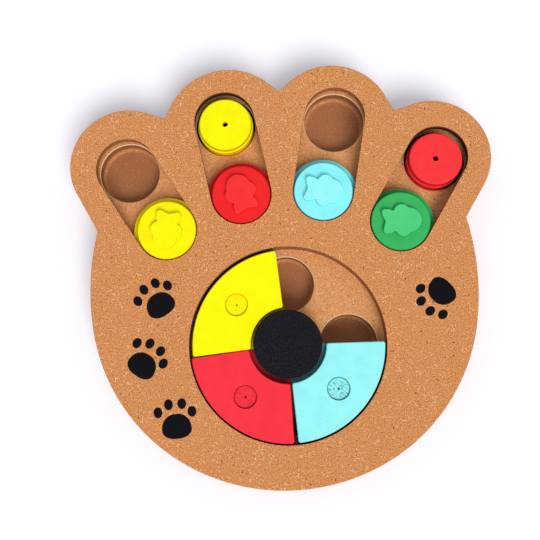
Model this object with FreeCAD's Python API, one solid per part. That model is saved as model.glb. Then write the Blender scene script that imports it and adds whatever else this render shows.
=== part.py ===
import FreeCAD, Part
import math
import os

# Paw-shaped treat puzzle board: glued sheets, four sliders, two lift-off cups and a sector wheel.
# Millimetres. The origin is on the wheel axis at the underside, the toes point along +Y, +Z is up.

os.makedirs("parts", exist_ok=True)
V = FreeCAD.Vector
UP = V(0, 0, 1)

# Sheets of the board, from the underside up
floor_t = 5.0
pocket_t = 9.0
guide_t = 6.0
top_t = 5.0
z_pocket = floor_t
z_track = z_pocket + pocket_t
z_lip = z_track + guide_t
z_top = z_lip + top_t

# Outline of the board: pad arcs mirrored about outline_x, toe lobes and the notches between them
outline_x = -1.36
pad_y = 33.4
pad_radii = (111.4, 103.9, 143.4)
pad_bends = (-64.1, -9.25)
notch_side_y = 67.2
notches = ((65.6, 130.6), (0.0, 144.8), (-66.0, 131.5))
lobes = ((86.1, 103.0, 32.5), (29.7, 124.3, 34.9), (-29.8, 123.3, 36.0), (-88.0, 104.8, 32.6))
notch_round = 1.0
edge_break = 0.35

# Slots, seen from above from left to right: inner end and outer end of each centre line
slot_ends = (
    ((-65.7, 66.4), (-88.4, 103.0)),
    ((-23.2, 85.3), (-31.6, 128.5)),
    ((23.2, 85.3), (31.6, 128.5)),
    ((65.7, 66.4), (88.4, 103.0)),
)
slot_r = 17.3
hole_r = slot_r

# Treat holes and wheel pockets are cut by a round-nosed cutter, a little way into the floor sheet
cove_r = 2.5
overcut = 0.3
rim_break = 0.5
z_hole = z_pocket - overcut

# The pocket sheet is laid in eight flat pieces: one under each toe, and four round the wheel axis
seam_y = 78.0
quarter_names = ("east", "north", "west", "south")
far = 300.0

# Sliders: a wide flange held under the lip of the slot and a smaller disc that fills the slot
flange_gap = 0.5
flange_r = 19.5
guide_r = flange_r + flange_gap
flange_play = 0.6
flange_t = guide_t - flange_play
disc_gap = 0.7
disc_r = slot_r - disc_gap
disc_rim = 0.8
fish_t = 2.6
fish_round = 0.5
fish_corner = 0.6
fish_turns = (-100.7, 109.7, -9.4, 2.4)

# Lift-off cups standing in the treat holes of the second and the fourth slot
cup_slots = (1, 3)
cup_lean = 1.1
cup_gap = 0.3
cup_foot_r = hole_r - cup_lean - cup_gap
cup_body_r = cup_foot_r - 0.7
cup_neck_r = cup_body_r - 0.5
cup_foot_h = 13.5
cup_neck_h = 0.6
cup_h = 18.2
cup_wall = 2.8
cup_roof = 3.0
cup_round = 1.2
cup_bevel = cove_r
scent_r = 1.6

# Wheel: recess, treat pockets under it, three sectors round a hub, cap on the hub
sector_r = 53.3
sector_gap = 1.2
recess_r = sector_r + sector_gap
wheel_pocket_r = 16.1
wheel_pocket_at = 34.0
wheel_pocket_turns = (0, 90, 180, 270)
hub_r = 9.5
hub_gap = 0.08
cap_r = 18.9
cap_t = 6.5
cap_gap = 0.3
cap_edge = 0.4
hub_t = guide_t + cap_gap
ledge_t = guide_t
sector_step_r = 21.2
sector_round = 1.3
sector_edge = 0.4
dimple_at = 36.6
dimple_r = 6.4
dimple_depth = 1.2
point_r = 0.8
point_depth = 0.8
sectors = (("yellow", 95.5, 185.5, -0.8), ("red", 186.2, 271.7, 0.2), ("cyan", 274.2, 359.8, 0.0))

# Glued dowel through the pocket sheet and the hub into the cap
dowel_r = 4.0
dowel_end = 23.5


def save(shape, node):
    shape.exportStep("parts/" + node + ".step")


def rod(x, y, z0, z1, r):
    return Part.makeCylinder(r, z1 - z0, V(x, y, z0), UP)


def polar(r, degrees):
    return V(r * math.cos(math.radians(degrees)), r * math.sin(math.radians(degrees)), 0)


def arc(centre, r, a0, a1):
    middle = centre + polar(r, (a0 + a1) / 2)
    return Part.Arc(centre + polar(r, a0), middle, centre + polar(r, a1)).toShape()


def line(p, q):
    return Part.makeLine(p, q)


def prism(edges, z0, z1):
    wire = Part.Wire(Part.__sortEdges__(edges))
    face = Part.Face(wire)
    face.translate(V(0, 0, z0))
    return face.extrude(V(0, 0, z1 - z0))


def edges_at(shape, z):
    return [e for e in shape.Edges if all(abs(v.Z - z) < 1e-4 for v in e.Vertexes)]


def upright_edges(shape):
    found = []
    for e in shape.Edges:
        p, q = e.Vertexes[0], e.Vertexes[-1]
        if math.hypot(p.X - q.X, p.Y - q.Y) < 1e-6 and abs(p.Z - q.Z) > 1e-6:
            found.append(e)
    return found


def touch_angle(point, centre, r, side):
    # Direction from the centre to where a line from the point touches the circle
    away = point - centre
    base = math.degrees(math.atan2(away.y, away.x))
    return base + side * math.degrees(math.acos(r / away.Length))


def pad_side(sign):
    # Three arcs that meet without a corner, from the bottom of the pad up to the side notch
    r0, r1, r2 = pad_radii
    b1, b2 = pad_bends
    c0 = V(outline_x, pad_y, 0)
    c1 = c0 + V(sign * polar(r0 - r1, b1).x, polar(r0 - r1, b1).y, 0)
    c2 = c1 + V(sign * polar(r1 - r2, b2).x, polar(r1 - r2, b2).y, 0)
    end = math.degrees(math.asin((notch_side_y - c2.y) / r2))
    pieces = []
    for centre, r, a0, a1 in ((c0, r0, -90, b1), (c1, r1, b1, b2), (c2, r2, b2, end)):
        if sign < 0:
            a0, a1 = 180 - a0, 180 - a1
        pieces.append(arc(centre, r, a0, a1))
    tip = c2 + polar(r2, end if sign > 0 else 180 - end)
    return pieces, tip


def outline_edges():
    right, first = pad_side(1)
    left, last = pad_side(-1)
    corners = [first] + [V(x, y, 0) for x, y in notches] + [last]
    edges = right + left
    for i, (x, y, r) in enumerate(lobes):
        centre = V(x, y, 0)
        a0 = touch_angle(corners[i], centre, r, 1)
        a1 = touch_angle(corners[i + 1], centre, r, -1)
        if a1 < a0:
            a1 += 360
        edges.append(line(corners[i], centre + polar(r, a0)))
        edges.append(arc(centre, r, a0, a1))
        edges.append(line(centre + polar(r, a1), corners[i + 1]))
    return edges, corners


def board_sheet(z0, z1):
    edges, corners = outline_edges()
    sheet = prism(edges, z0, z1)
    at_notch = []
    for e in upright_edges(sheet):
        p = e.Vertexes[0]
        if min((V(p.X, p.Y, 0) - c).Length for c in corners) < 0.01:
            at_notch.append(e)
    return sheet.makeFillet(notch_round, at_notch)


def racetrack(ends, r, z0, z1):
    a, b = (V(x, y, 0) for x, y in ends)
    along = math.degrees(math.atan2(b.y - a.y, b.x - a.x))
    edges = [
        arc(b, r, along - 90, along + 90),
        arc(a, r, along + 90, along + 270),
        line(b + polar(r, along + 90), a + polar(r, along + 90)),
        line(a + polar(r, along - 90), b + polar(r, along - 90)),
    ]
    return prism(edges, z0, z1)


# Board sheets
def cutter(x, y, r):
    nose = rod(x, y, z_hole, z_track + 1, r)
    nose = nose.makeFillet(cove_r, edges_at(nose, z_hole))
    return nose.fuse(Part.makeCone(r, r + 2 * rim_break, 2 * rim_break, V(x, y, z_track - rim_break), UP))


def cut_holes(sheet):
    for inner, outer in slot_ends:
        sheet = sheet.cut(cutter(outer[0], outer[1], hole_r))
    for turn in wheel_pocket_turns:
        at = polar(wheel_pocket_at, turn)
        sheet = sheet.cut(cutter(at.x, at.y, wheel_pocket_r))
    return sheet


def floor_sheet():
    return cut_holes(board_sheet(0, z_pocket))


def pocket_sheet():
    sheet = cut_holes(board_sheet(z_pocket, z_track))
    return sheet.cut(rod(0, 0, z_pocket - 1, z_track + 1, dowel_r))


def block(*corners):
    edges = [line(corners[k - 1], corners[k]) for k in range(len(corners))]
    return prism(edges, z_pocket, z_track)


def toe_blocks():
    # The seams between two toes run from the seam under the toes to the notch, away from the wheel
    inner = [V(x * seam_y / y, seam_y, 0) for x, y in reversed(notches)]
    outer = [V(x * far / y, far, 0) for x, y in reversed(notches)]
    inner = [V(-far, seam_y, 0)] + inner + [V(far, seam_y, 0)]
    outer = [V(-far, far, 0)] + outer + [V(far, far, 0)]
    return [block(inner[k], inner[k + 1], outer[k + 1], outer[k]) for k in range(len(lobes))]


def pocket_pieces():
    sheet = pocket_sheet()
    pieces = {}
    for k, toe in enumerate(toe_blocks()):
        pieces["toe_" + str(k + 1)] = sheet.common(toe)
    pad = sheet.common(block(V(-far, -far, 0), V(far, -far, 0), V(far, seam_y, 0), V(-far, seam_y, 0)))
    for name, turn in zip(quarter_names, wheel_pocket_turns):
        pieces[name] = pad.common(block(V(0, 0, 0), polar(far, turn - 45), polar(far, turn + 45)))
    return pieces


def guide_sheet():
    sheet = board_sheet(z_track, z_lip)
    for ends in slot_ends:
        sheet = sheet.cut(racetrack(ends, guide_r, z_track - 1, z_lip + 1))
    return sheet.cut(rod(0, 0, z_track - 1, z_lip + 1, recess_r))


def top_sheet():
    sheet = board_sheet(z_lip, z_top)
    sheet = sheet.makeChamfer(edge_break, edges_at(sheet, z_top))
    for ends in slot_ends:
        sheet = sheet.cut(racetrack(ends, slot_r, z_lip - 1, z_top + 1))
    return sheet.cut(rod(0, 0, z_lip - 1, z_top + 1, recess_r))


# Sliders
def slider_flange(x, y):
    return rod(x, y, z_track, z_track + flange_t, flange_r)


def slider_disc(x, y):
    disc = rod(x, y, z_track + flange_t, z_top, disc_r)
    return disc.makeFillet(disc_rim, edges_at(disc, z_top))


def fish_plate(x, y, turn):
    # Half outline from the tail end to the nose: a start point, then arcs by middle and end
    start = (-8.9, 0.0)
    steps = (
        ((-9.6, 1.9), (-10.2, 3.9)),
        ((-9.9, 6.5), (-7.5, 6.9)),
        ((-5.4, 6.5), (-3.8, 5.4)),
        ((-0.9, 8.8), (4.4, 7.0)),
        ((9.4, 4.6), (11.3, 0.0)),
    )
    edges = []
    for side in (1, -1):
        here = V(start[0], side * start[1], 0)
        for middle, end in steps:
            there = V(end[0], side * end[1], 0)
            edges.append(Part.Arc(here, V(middle[0], side * middle[1], 0), there).toShape())
            here = there
    plate = prism(edges, z_top, z_top + fish_t)
    plate = plate.makeFillet(fish_corner, upright_edges(plate))
    plate = plate.makeFillet(fish_round, edges_at(plate, z_top + fish_t))
    plate.rotate(V(0, 0, 0), UP, turn)
    plate.translate(V(x, y, 0))
    return plate


# Lift-off cups, turned with a foot, a narrow neck and a body, hollow from below
def cup(inner, outer):
    # The cup leans on the side of its hole that faces the slider
    toward = V(inner[0] - outer[0], inner[1] - outer[1], 0)
    at = V(outer[0], outer[1], 0) + toward.normalize() * cup_lean
    x, y = at.x, at.y
    z_neck = z_hole + cup_foot_h
    z_body = z_neck + cup_neck_h
    z_end = z_hole + cup_h
    foot = rod(x, y, z_hole, z_neck, cup_foot_r)
    foot = foot.makeChamfer(cup_bevel, edges_at(foot, z_hole))
    body = rod(x, y, z_body, z_end, cup_body_r)
    body = body.makeFillet(cup_round, edges_at(body, z_end))
    solid = foot.fuse(rod(x, y, z_neck, z_body, cup_neck_r)).fuse(body)
    inside = rod(x, y, z_hole - 1, z_end - cup_roof, cup_foot_r - cup_bevel - cup_wall / 2)
    return solid.cut(inside).cut(rod(x, y, z_hole, z_end + 1, scent_r)).removeSplitter()


# Wheel pieces
def sector(a0, a1, shift):
    outer = sector_r + shift
    step = sector_step_r + shift
    pie = Part.makeCylinder(outer, z_top - z_track, V(0, 0, z_track), UP, a1 - a0)
    pie = pie.cut(rod(0, 0, z_track - 1, z_top + 1, hub_r + hub_gap))
    pie = pie.cut(rod(0, 0, z_track + ledge_t, z_top + 1, step))
    corners = [e for e in upright_edges(pie) if math.hypot(e.Vertexes[0].X, e.Vertexes[0].Y) > step - 0.1]
    pie = pie.makeFillet(sector_round, corners)
    pie = pie.makeChamfer(sector_edge, edges_at(pie, z_top))
    pie.rotate(V(0, 0, 0), UP, a0)
    at = polar(dimple_at + shift, (a0 + a1) / 2)
    pie = pie.cut(rod(at.x, at.y, z_top - dimple_depth, z_top + 1, dimple_r))
    z_point = z_top - dimple_depth - point_depth
    return pie.cut(Part.makeCone(0, point_r, point_depth, V(at.x, at.y, z_point), UP))


def hub():
    ring = rod(0, 0, z_track, z_track + hub_t, hub_r)
    return ring.cut(rod(0, 0, z_track - 1, z_lip + 2, dowel_r))


def cap():
    z0 = z_track + hub_t
    disc = rod(0, 0, z0, z0 + cap_t, cap_r)
    disc = disc.makeFillet(cap_edge, edges_at(disc, z0 + cap_t))
    return disc.cut(rod(0, 0, z0 - 1, dowel_end, dowel_r))


def cap_dowel():
    return rod(0, 0, z_pocket, dowel_end, dowel_r)


save(floor_sheet(), "board_floor")
for name, piece in pocket_pieces().items():
    save(piece, "board_pockets_" + name)
save(guide_sheet(), "board_guides")
save(top_sheet(), "board_top")
for i, (inner, outer) in enumerate(slot_ends):
    number = str(i + 1)
    save(slider_flange(*inner), "slider_flange_" + number)
    save(slider_disc(*inner), "slider_disc_" + number)
    save(fish_plate(inner[0], inner[1], fish_turns[i]), "slider_fish_" + number)
    if i in cup_slots:
        save(cup(inner, outer), "cup_" + number)
for name, a0, a1, shift in sectors:
    save(sector(a0, a1, shift), "sector_" + name)
save(hub(), "wheel_hub")
save(cap(), "wheel_cap")
save(cap_dowel(), "cap_dowel")
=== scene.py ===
import math

import bmesh
import bpy
from mathutils import Matrix, Vector


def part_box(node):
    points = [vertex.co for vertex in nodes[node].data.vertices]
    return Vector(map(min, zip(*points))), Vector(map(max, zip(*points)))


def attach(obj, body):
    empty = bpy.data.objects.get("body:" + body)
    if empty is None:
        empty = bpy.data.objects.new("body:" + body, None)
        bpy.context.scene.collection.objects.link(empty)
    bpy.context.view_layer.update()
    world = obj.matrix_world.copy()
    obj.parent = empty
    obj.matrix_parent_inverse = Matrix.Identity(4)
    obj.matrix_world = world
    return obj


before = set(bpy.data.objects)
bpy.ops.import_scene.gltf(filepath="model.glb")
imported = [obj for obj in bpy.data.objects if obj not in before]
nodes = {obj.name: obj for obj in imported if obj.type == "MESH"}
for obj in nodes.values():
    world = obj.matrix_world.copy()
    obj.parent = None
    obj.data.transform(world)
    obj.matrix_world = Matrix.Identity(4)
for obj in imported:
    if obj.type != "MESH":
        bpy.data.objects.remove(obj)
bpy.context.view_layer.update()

# The board is four sheets of raw fibreboard, glued in a stack: a plain floor, a sheet with the
# treat holes, a sheet with the wide tracks and a top sheet whose narrower slots hold the sliders
# in. The faces keep the press-smooth tan skin; routed walls show the darker, fuzzier core.


class Wire:
    """One output of a node in a finish. Arithmetic on it adds the Math nodes."""

    def __init__(self, finish, socket):
        self.finish, self.socket = finish, socket

    def math(self, operation, *others, clamp=False):
        settings = {"operation": operation, "use_clamp": clamp}
        return self.finish.node("ShaderNodeMath", settings, dict(enumerate((self,) + others)))

    def __add__(self, other):
        return self.math("ADD", other)

    def __sub__(self, other):
        return self.math("SUBTRACT", other)

    def __mul__(self, other):
        return self.math("MULTIPLY", other)

    __radd__ = __add__

    def size(self):
        return self.math("ABSOLUTE")

    def most(self, other):
        return self.math("MAXIMUM", other)

    def capped(self):
        return self.math("MINIMUM", 1.0)

    def ramp(self, start, end, low=0.0, high=1.0):
        """Goes smoothly from low at start to high at end, and stays there outside."""
        settings = {"interpolation_type": "SMOOTHSTEP"}
        values = {"Value": self, "From Min": start, "From Max": end, "To Min": low, "To Max": high}
        return self.finish.node("ShaderNodeMapRange", settings, values)

    def fall(self, start, end):
        """1 up to start, 0 from end on."""
        return self.ramp(start, end, 1.0, 0.0)

    def band(self, start, full, fading, end):
        """1 from full to fading, and 0 before start and after end."""
        return self.ramp(start, full) * self.fall(fading, end)


def tone(red, green, blue):
    """A colour as it reads on a screen, 0 to 255, as the shader wants it."""
    linear = [(v / 255 + 0.055) / 1.055 for v in (red, green, blue)]
    return tuple(v**2.4 if v > 0.0887 else v * 1.055 / 12.92 for v in linear) + (1.0,)


class Finish:
    """One material: a Principled shader and the nodes that feed it."""

    def __init__(self, name, **constants):
        self.material = bpy.data.materials.new(name)
        self.material.use_nodes = True
        self.tree = self.material.node_tree
        self.shader = self.tree.nodes["Principled BSDF"]
        for socket, value in constants.items():
            self.shader.inputs[socket.replace("_", " ")].default_value = value
        self.place = self.node("ShaderNodeTexCoord", {}, {}, "Object")

    def node(self, kind, settings, values, output=0):
        made = self.tree.nodes.new(kind)
        for setting, value in settings.items():
            setattr(made, setting, value)
        for socket, value in values.items():
            self.feed(made.inputs[socket], value)
        return Wire(self, made.outputs[output])

    def feed(self, socket, value):
        if isinstance(value, Wire):
            self.tree.links.new(value.socket, socket)
        else:
            socket.default_value = value

    def noise(self, at, scale, detail=2.0, rough=0.5):
        values = {"Vector": at, "Scale": scale, "Detail": detail, "Roughness": rough}
        return self.node("ShaderNodeTexNoise", {}, values)

    def vector(self, operation, *values, output=0):
        settings = {"operation": operation}
        return self.node("ShaderNodeVectorMath", settings, dict(enumerate(values)), output)

    def turned(self, vector, angle):
        """The vector turned round the upright axis."""
        settings = {"rotation_type": "Z_AXIS"}
        return self.node("ShaderNodeVectorRotate", settings, {"Vector": vector, "Angle": angle})

    def blend(self, share, under, over):
        values = {0: share, 6: under, 7: over}
        return self.node("ShaderNodeMix", {"data_type": "RGBA"}, values, 2)

    def part(self, vector, axis):
        return self.node("ShaderNodeSeparateXYZ", {}, {"Vector": vector}, axis)

    def height(self):
        return self.part(self.place, "Z")

    def lying(self):
        """1 where the surface lies flat, 0 where it stands upright."""
        return self.part(self.node("ShaderNodeNewGeometry", {}, {}, "Normal"), "Z").size()

    def plan_from(self, x, y):
        """Object coordinates seen from above, counted from that point."""
        spot = self.vector("SUBTRACT", self.place, (x, y, 0.0))
        return self.vector("MULTIPLY", spot, (1.0, 1.0, 0.0))

    def distance_from(self, x, y):
        return self.vector("LENGTH", self.plan_from(x, y), output="Value")

    def strokes(self, cell, length, width, share, shift=0.0):
        """Short curved fibres, at most one in each cell, each turned its own way."""
        shifted = self.vector("ADD", self.place, (shift,) * 3)
        grid = self.vector("MULTIPLY", shifted, (1 / cell,) * 3)
        look = {"voronoi_dimensions": "3D", "feature": "F1"}
        cells = self.node("ShaderNodeTexVoronoi", look, {"Vector": grid, "Scale": 1.0})
        near = Wire(self, cells.socket.node.outputs["Position"])
        luck = Wire(self, cells.socket.node.outputs["Color"])
        turn = self.part(luck, "X") * math.tau
        spun = self.turned(self.vector("SUBTRACT", grid, near), turn)
        along, across = self.part(spun, "X"), self.part(spun, "Y")
        bent = across + along * along * ((self.part(luck, "Y") - 0.5) * 2.2)
        line = bent.size().fall(width / cell * 0.4, width / cell)
        ends = along.size().fall(length / cell * 0.35, length / cell * 0.5)
        return line * ends * self.part(luck, "Z").math("LESS_THAN", share)

    def relief(self, height, distance):
        """Feeds the height as a bump to the shader."""
        values = {"Strength": 1.0, "Distance": distance, "Height": height}
        self.feed(self.shader.inputs["Normal"], self.node("ShaderNodeBump", {}, values))

    def colour(self, value):
        self.feed(self.shader.inputs["Base Color"], value)

    def rough(self, value):
        self.feed(self.shader.inputs["Roughness"], value)

    def coat(self, *names):
        """Puts the finish on CAD nodes, given by name, or on the scene's own pieces."""
        for name in names:
            piece = nodes[name] if isinstance(name, str) else name
            piece.data.materials.clear()
            piece.data.materials.append(self.material)


# Heights of the joints between the sheets, and the line that each slider's centre runs along
floor_top, track_floor, lip_under = 0.005, 0.014, 0.020
slot_lines = (
    ((-0.0657, 0.0664), (-0.0884, 0.1030)),
    ((-0.0232, 0.0853), (-0.0316, 0.1285)),
    ((0.0232, 0.0853), (0.0316, 0.1285)),
    ((0.0657, 0.0664), (0.0884, 0.1030)),
)
cup_slots = slot_lines[1::2]
track_reach = (0.0225, 0.0240)
recess_reach = (0.0560, 0.0570)
toe_side = (0.056, 0.058)


def fibreboard():
    board = Finish("raw_fibreboard", Specular_IOR_Level=0.12)
    height = board.height()
    lying = board.lying()
    wall = lying.fall(0.35, 0.8)

    # The skin of the faces, and the core that routing lays bare
    fine = board.noise(board.place, 3200.0, 2.0, 0.7)
    grain = board.noise(board.place, 1600.0, 3.0, 0.75)
    cloud = board.noise(board.place, 60.0, 3.0)
    skin = board.blend(grain.ramp(0.36, 0.62), tone(176, 106, 58), tone(252, 178, 112))
    skin = board.blend(fine.ramp(0.48, 0.64) * 0.55, skin, tone(154, 88, 48))
    # Painted light: at the height of the track floors the skin is painted paler
    lit_track_floor = height.band(0.0137, 0.0139, 0.0141, 0.0143)
    skin = board.blend(lit_track_floor * 0.3, skin, tone(255, 190, 128))
    skin = board.blend(cloud.ramp(0.35, 0.7) * 0.14, skin, tone(226, 148, 92))
    core = board.blend(grain.ramp(0.3, 0.7), tone(140, 88, 54), tone(172, 113, 73))
    body = board.blend(wall, skin, core)

    # Pale and dark fibres lie flat in the faces; the walls show the layers instead
    flat_share = wall.fall(0.0, 1.0)
    clump = board.noise(board.place, 170.0, 2.0).ramp(0.42, 0.6, 0.25, 1.0)
    pale = board.strokes(0.0037, 0.0026, 0.00019, 0.42)
    pale = pale + board.strokes(0.0024, 0.0014, 0.00017, 0.5, 0.013)
    body = board.blend((pale * clump).capped() * flat_share * 0.85, body, tone(255, 222, 178))
    dark = board.strokes(0.0031, 0.0008, 0.00022, 0.35, 0.031)
    dark = dark + board.strokes(0.011, 0.0016, 0.0004, 0.25, 0.047)
    body = board.blend(dark.capped() * flat_share * 0.75, body, tone(74, 40, 26))
    pressed = board.vector("MULTIPLY", board.place, (240.0, 240.0, 1500.0))
    layered = board.noise(pressed, 1.0, 3.0, 0.7)
    body = board.blend(layered.ramp(0.5, 0.75) * wall * 0.4, body, tone(214, 164, 116))

    # Places that a cutter has reached: within the slots' tracks and within the wheel's recess
    tracked, by_cup = 0.0, 0.0
    for line in slot_lines:
        inner, outer = line
        run = Vector(outer) - Vector(inner)
        spot = board.plan_from(*inner)
        passed = board.vector("DOT_PRODUCT", spot, (*run, 0.0), output="Value")
        share = passed.math("MULTIPLY", 1 / run.length_squared, clamp=True)
        values = {0: (*run, 0.0), "Scale": share}
        nearest = board.node("ShaderNodeVectorMath", {"operation": "SCALE"}, values)
        within = board.vector("DISTANCE", spot, nearest, output="Value").fall(*track_reach)
        tracked = within.most(tracked)
        if line in cup_slots:
            by_cup = within.most(by_cup)
    cut = tracked.most(board.distance_from(0.0, 0.0).fall(*recess_reach))

    # The floors of the holes are painted smoother and darker, the darkness as painted shade; the
    # cove at their foot is painted paler, as painted light, and the rim gets a pale painted
    # highlight line
    floors = height.band(0.0020, 0.0040, 0.0051, 0.0060)
    smooth_shaded_floor = board.blend(fine.ramp(0.36, 0.64), tone(148, 94, 62), tone(184, 124, 86))
    body = board.blend(floors * lying.ramp(0.7, 0.98) * 0.80, body, smooth_shaded_floor)
    # Painted light: the cove and the low walls of the holes are painted paler
    cove = height.band(0.0048, 0.0056, 0.0066, 0.0086)
    body = board.blend(cove * wall * cut * 0.55, body, tone(214, 166, 122))
    # Painted highlight: a pale line along the rims at the top of the holes
    rim = height.band(0.01335, 0.0136, 0.0140, 0.01415) * lying.fall(0.85, 0.95)
    body = board.blend(rim * cut * 0.85, body, tone(255, 214, 168))

    # Painted shade: the track walls under the lip are painted dark, darker still beside the cups,
    # and the holes round the two cups are painted nearly black as painted shadow
    beyond = board.part(board.place, "Y").ramp(*toe_side)
    tracks = height.band(0.0139, 0.0142, 0.0198, 0.0202)
    body = board.blend(tracks * wall * tracked * beyond * 0.7, body, tone(60, 33, 21))
    beside = height.band(0.0139, 0.0142, 0.0240, 0.0249)
    body = board.blend(beside * wall * by_cup * beyond * 0.6, body, tone(52, 27, 17))
    # Painted shadow: the walls and floors round each cup are painted nearly black
    for cup in ("cup_2", "cup_4"):
        low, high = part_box(cup)
        away = board.distance_from((low.x + high.x) / 2, (low.y + high.y) / 2)
        near = away.fall(0.0225, 0.0235)
        deep = height.fall(0.0212, 0.0249)
        hidden = (wall + height.fall(0.0128, 0.0136)).capped()
        body = board.blend(near * deep * hidden * 0.93, body, tone(14, 6, 4))

    # Thin dark glue lines where two sheets meet
    seams = 0.0
    for joint in (floor_top, track_floor, lip_under):
        seams = (height - joint).size().fall(0.00012, 0.0004) + seams
    board.colour(board.blend(seams * wall * 0.45, body, tone(96, 60, 38)))
    board.rough(0.8 + grain * 0.14)
    board.relief(grain * 0.5 + fine * 0.5, 0.00010)
    return board


raw_board = fibreboard()
raw_board.coat("wheel_hub", *(name for name in nodes if name.startswith("board_")))

# The paw marks are black ink, screen-printed on the bare top sheet: one stencil used four times,
# three beside the wheel on the left and one on the right. The film is thin and lets the grain
# through.
ink_t = 0.00012
board_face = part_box("board_top")[1].z
pad_half = (0.0079, 0.0066)
pad_taper = 0.14
toe_half = (0.0024, 0.0029)
toe_places = ((-0.0095, 0.0083), (-0.0034, 0.0120), (0.0039, 0.0118), (0.0090, 0.0071))
# Across, up, and turn in degrees
print_places = (
    (-0.0700, 0.0243, 30.0),
    (-0.0802, -0.0087, -35.7),
    (-0.0619, -0.0422, 4.4),
    (0.0856, 0.0259, 131.1),
)


def ink_patch(shape, x, y, half, taper):
    """A flat inked oval, narrower towards its top by the taper, as a film on the board's face."""
    rim = bmesh.ops.create_circle(shape, cap_ends=True, segments=40, radius=1.0)["verts"]
    for vert in rim:
        across, up = vert.co.x, vert.co.y
        squarer = 1.0 + 0.40 * taper * abs(math.sin(2 * math.atan2(up, across)))
        narrowed = across * half[0] * (1 - taper * up)
        vert.co = Vector((narrowed * squarer + x, up * half[1] * squarer + y, 0))
    flat = list({face for vert in rim for face in vert.link_faces})
    raised = bmesh.ops.extrude_face_region(shape, geom=flat)["geom"]
    top = [vert for vert in raised if isinstance(vert, bmesh.types.BMVert)]
    bmesh.ops.translate(shape, vec=(0, 0, ink_t), verts=top)


def ink_finish():
    ink = Finish("printed_ink", Specular_IOR_Level=0.05)
    grain = ink.noise(ink.place, 1300.0, 3.0, 0.6)
    fibre = ink.strokes(0.004, 0.0026, 0.00022, 0.3, 0.02)
    body = ink.blend(grain.ramp(0.45, 0.8), tone(2, 2, 9), tone(14, 14, 22))
    ink.colour(ink.blend(fibre * 0.2, body, tone(44, 40, 42)))
    ink.rough(0.6 + grain * 0.2)
    ink.relief(grain, 0.00006)
    return ink


stencil_ink = ink_finish()
for number, (x, y, turn) in enumerate(print_places, 1):
    mesh = bpy.data.meshes.new("paw_print_" + str(number))
    shape = bmesh.new()
    ink_patch(shape, 0.0, 0.0, pad_half, pad_taper)
    for toe_x, toe_y in toe_places:
        ink_patch(shape, toe_x, toe_y, toe_half, 0.0)
    turned = Matrix.Rotation(math.radians(turn), 4, "Z")
    where = Matrix.Translation((x, y, board_face)) @ turned
    bmesh.ops.transform(shape, matrix=where, verts=shape.verts)
    bmesh.ops.recalc_face_normals(shape, faces=shape.faces)
    shape.to_mesh(mesh)
    shape.free()
    paw_print = bpy.data.objects.new("paw_print_" + str(number), mesh)
    bpy.context.collection.objects.link(paw_print)
    stencil_ink.coat(paw_print)
    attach(paw_print, "board")

# The four sliders are turned discs with a wider flange and a fish plate glued on top, each
# sprayed in one colour. The paint is satin and a little uneven; sides and rims are painted darker,
# as painted shade.


def paint(name, colour, shade, centre=None, rim=None):
    """Satin paint over fibreboard: a flat colour with faint patches and pinholes."""
    coat = Finish(name, Specular_IOR_Level=0.04)
    patch = coat.noise(coat.place, 130.0, 3.0)
    fine = coat.noise(coat.place, 1700.0, 2.0)
    body = coat.blend(patch.ramp(0.35, 0.75) * 0.18, colour, shade)
    nap = coat.strokes(0.0026, 0.0016, 0.00016, 0.35, 0.017)
    body = coat.blend(nap * 0.12, body, shade)
    pinhole = coat.strokes(0.0058, 0.0005, 0.0003, 0.22, 0.041)
    body = coat.blend(pinhole * 0.5, body, shade)
    # Painted shade: surfaces that stand upright take the darker shade colour
    body = coat.blend(coat.lying().ramp(0.35, 0.9, 0.85, 0.0), body, shade)
    # Painted shade: a darker ring at the disc's rounded rim
    if rim:
        edge = coat.distance_from(*centre).ramp(rim - 0.0009, rim - 0.0002)
        body = coat.blend(edge * 0.4, body, shade)
    coat.colour(body)
    coat.rough(0.48 + patch * 0.16)
    coat.relief(fine * 0.5 + nap * 0.5 - pinhole, 0.00005)
    return coat


slider_colours = {
    "1": (tone(255, 250, 0), tone(246, 190, 0)),
    "2": (tone(243, 44, 46), tone(206, 22, 30)),
    "3": (tone(146, 250, 253), tone(104, 208, 224)),
    "4": (tone(64, 186, 100), tone(42, 150, 76)),
}
fish_colours = {
    "1": (tone(255, 254, 0), tone(252, 206, 0)),
    "2": (tone(253, 56, 60), tone(226, 34, 40)),
    "3": (tone(156, 254, 255), tone(118, 222, 234)),
    "4": (tone(84, 214, 132), tone(54, 180, 100)),
}
for number, (colour, shade) in slider_colours.items():
    low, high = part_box("slider_disc_" + number)
    middle = (low + high) / 2
    disc_r = (high.x - low.x) / 2
    disc_paint = paint("slider_paint_" + number, colour, shade, (middle.x, middle.y), disc_r)
    disc_paint.coat("slider_disc_" + number, "slider_flange_" + number)
    paint("fish_paint_" + number, *fish_colours[number]).coat("slider_fish_" + number)

# The two cups are turned from thicker board, hollow below with a scent hole through the roof, and
# dipped in the same paint. They stand loose in the treat holes at the outer ends of two slots.
paint("cup_paint_yellow", tone(255, 254, 0), tone(255, 196, 0)).coat("cup_2")
paint("cup_paint_red", tone(255, 62, 66), tone(222, 30, 38)).coat("cup_4")

# The wheel is three loose sectors painted like the sliders, each with a shallow drilled finger
# dimple. The drill tore the fibres there, so the paint in the dimple shows swirls and a dark
# centre point. The sides low in the gaps between sectors are painted nearly black, as painted
# shadow, and the ledge under the cap is painted darker, as painted shade.
dimple_r = 0.0064


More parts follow.
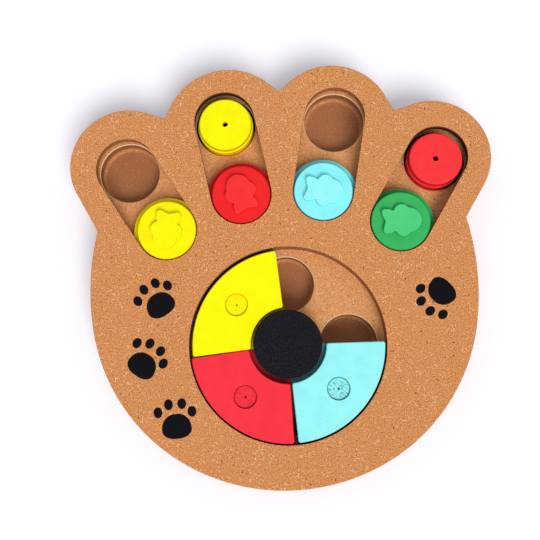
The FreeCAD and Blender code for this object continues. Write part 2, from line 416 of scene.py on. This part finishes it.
def sector_paint(name, colour, shade, streak_and_ledge_shade, tear, centre):
    coat = paint(name, colour, shade)
    height = coat.height()
    reach = coat.distance_from(*centre)
    inside = reach.fall(dimple_r - 0.0001, dimple_r + 0.0001)
    sunk = height.fall(0.0241, 0.0249)
    warp = coat.noise(coat.place, 260.0, 2.0)
    swirl = (reach * 5200.0 + warp * 9.0).math("SINE").ramp(0.2, 0.9)
    slant = coat.vector("MULTIPLY", coat.turned(coat.place, 0.6), (420.0, 1500.0, 420.0))
    torn = coat.noise(slant, 1.0, 3.0, 0.7).ramp(0.5, 0.6)
    edge = reach.ramp(dimple_r - 0.0009, dimple_r - 0.0002) * 0.8
    marks = ((swirl * torn).most(torn * 0.7) * tear).most(edge)
    painted = Wire(coat, coat.shader.inputs["Base Color"].links[0].from_socket)
    body = coat.blend(inside * sunk * marks, painted, streak_and_ledge_shade)
    # Painted shade: the ledge under the cap is painted towards the dark streak colour
    body = coat.blend(height.ramp(0.0205, 0.0215, 0.6, 0.0), body, streak_and_ledge_shade)
    # Painted shadow: low on the upright sides, facing the gaps, the paint turns nearly black
    gap_shadow = coat.lying().fall(0.2, 0.5) * height.ramp(0.0225, 0.0243, 0.85, 0.0)
    body = coat.blend(gap_shadow, body, tone(26, 12, 8))
    point = reach.fall(0.0005, 0.0009)
    coat.colour(coat.blend(point * sunk * 0.8, body, streak_and_ledge_shade))
    return coat


# Paint, its shade, the colour of the torn fibres, which is also the ledge's painted shade, and
# their
# strength, and where the dimple is: its distance from the wheel's axis and its turn in degrees
sector_looks = (
    ("yellow", tone(255, 255, 0), tone(252, 224, 0), tone(222, 130, 0), 0.35, 0.0358, 140.5),
    ("red", tone(255, 58, 72), tone(216, 30, 42), tone(120, 4, 16), 0.5, 0.0368, 228.95),
    ("cyan", tone(160, 252, 252), tone(120, 214, 224), tone(10, 58, 72), 0.8, 0.0366, 317.0),
)
for colour_name, colour, shade, streak_and_ledge_shade, tear, reach, turn in sector_looks:
    centre = (reach * math.cos(math.radians(turn)), reach * math.sin(math.radians(turn)))
    finish = sector_paint("sector_paint_" + colour_name, colour, shade, streak_and_ledge_shade, tear, centre)
    finish.coat("sector_" + colour_name)

# The cap is a disc of the same board, sprayed matt black with a fine speckle, and stands a little
# proud of the sectors, which it holds down. A glued dowel pins it and the hub to the board.


def cap_finish():
    cap = Finish("cap_black", Specular_IOR_Level=0.04)
    speck = cap.noise(cap.place, 1900.0, 2.0, 0.7)
    cloud = cap.noise(cap.place, 90.0, 2.0)
    body = cap.blend(speck.ramp(0.5, 0.75), tone(20, 20, 24), tone(66, 66, 72))
    cap.colour(cap.blend(cloud.ramp(0.3, 0.8) * 0.3, body, tone(28, 28, 34)))
    cap.rough(0.55 + speck * 0.2)
    cap.relief(speck, 0.0001)
    return cap


def dowel_finish():
    dowel = Finish("dowel_wood", Specular_IOR_Level=0.3)
    lengthwise = dowel.vector("MULTIPLY", dowel.place, (1.0, 1.0, 0.06))
    rings = dowel.noise(lengthwise, 900.0, 3.0)
    dowel.colour(dowel.blend(rings.ramp(0.35, 0.7), tone(196, 158, 108), tone(226, 194, 148)))
    dowel.rough(0.6 + rings * 0.2)
    dowel.relief(rings, 0.0001)
    return dowel


cap_finish().coat("wheel_cap")
dowel_finish().coat("cap_dowel")

# The toy lies on a white table that keeps only its grey shadow. The camera, mirrors and glass see
# the table a little brighter than it lights the toy.
table_half = 6.0


def table_finish():
    table = Finish("white_table", Specular_IOR_Level=0.1, Roughness=0.9)
    cloud = table.noise(table.place, 2.0, 2.0)
    table.colour(table.blend(cloud, tone(246, 246, 250), tone(250, 250, 252)))
    plain = Wire(table, table.shader.outputs[0])
    glow = {"Color": (0.82, 0.82, 1.0, 1.0), "Strength": 0.15}
    brighter = table.node("ShaderNodeAddShader", {}, {
        0: plain,
        1: table.node("ShaderNodeEmission", {}, glow),
    })
    camera_ray = table.node("ShaderNodeLightPath", {}, {}, "Is Camera Ray")
    paths = camera_ray.socket.node.outputs
    glossy, through = (Wire(table, paths[f"Is {kind} Ray"]) for kind in ("Glossy", "Transmission"))
    shares = {0: camera_ray.most(glossy.most(through)), 1: plain, 2: brighter}
    seen = table.node("ShaderNodeMixShader", {}, shares)
    table.feed(table.tree.nodes["Material Output"].inputs["Surface"], seen)
    return table


table_mesh = bpy.data.meshes.new("table")
shape = bmesh.new()
bmesh.ops.create_grid(shape, x_segments=2, y_segments=2, size=table_half)
shape.to_mesh(table_mesh)
shape.free()
table_top = bpy.data.objects.new("table", table_mesh)
bpy.context.collection.objects.link(table_top)
table_finish().coat(table_top)

# Soft light comes from all round and, stronger, from a wide window on the pad's side. Behind the
# table the camera, mirrors and glass see plain white.
scene = bpy.context.scene
world = bpy.data.worlds.new("studio")
world.use_nodes = True
scene.world = world
sky_tree = world.node_tree


def larger(first, second):
    made = sky_tree.nodes.new("ShaderNodeMath")
    made.operation = "MAXIMUM"
    sky_tree.links.new(first, made.inputs[0])
    sky_tree.links.new(second, made.inputs[1])
    return made.outputs["Value"]


sky = sky_tree.nodes["Background"]
sky.inputs["Color"].default_value = (0.95, 0.96, 1.0, 1.0)
sky.inputs["Strength"].default_value = 0.52
backdrop = sky_tree.nodes.new("ShaderNodeBackground")
backdrop.inputs["Color"].default_value = (1.0, 1.0, 1.0, 1.0)
backdrop.inputs["Strength"].default_value = 1.0
paths = sky_tree.nodes.new("ShaderNodeLightPath").outputs
mirrored = larger(paths["Is Glossy Ray"], paths["Is Transmission Ray"])
seen = sky_tree.nodes.new("ShaderNodeMixShader")
sky_tree.links.new(larger(paths["Is Camera Ray"], mirrored), seen.inputs["Fac"])
sky_tree.links.new(sky.outputs["Background"], seen.inputs[1])
sky_tree.links.new(backdrop.outputs["Background"], seen.inputs[2])
sky_tree.links.new(seen.outputs["Shader"], sky_tree.nodes["World Output"].inputs["Surface"])

lamp = bpy.data.lights.new("window", "SUN")
lamp.energy = 2.05
lamp.angle = math.radians(32)
lamp.color = (1.0, 0.985, 0.96)
window = bpy.data.objects.new("window", lamp)
bpy.context.collection.objects.link(window)
towards_window = Vector((0.30, -0.80, 1.0))
window.rotation_euler = towards_window.to_track_quat("Z", "Y").to_euler()

# The camera looks down from almost straight above, a little from the pad's side
camera_data = bpy.data.cameras.new("camera")
camera_data.sensor_width = 36.0
camera_data.lens = 49.61
camera_data.clip_start = 0.01
camera_data.clip_end = 20.0
camera = bpy.data.objects.new("camera", camera_data)
bpy.context.collection.objects.link(camera)
camera.location = (0.0008, -0.0150, 0.4351)
camera.rotation_euler = [math.radians(turn) for turn in (7.79, 1.55, -1.96)]
scene.camera = camera

scene.view_settings.view_transform = "Standard"
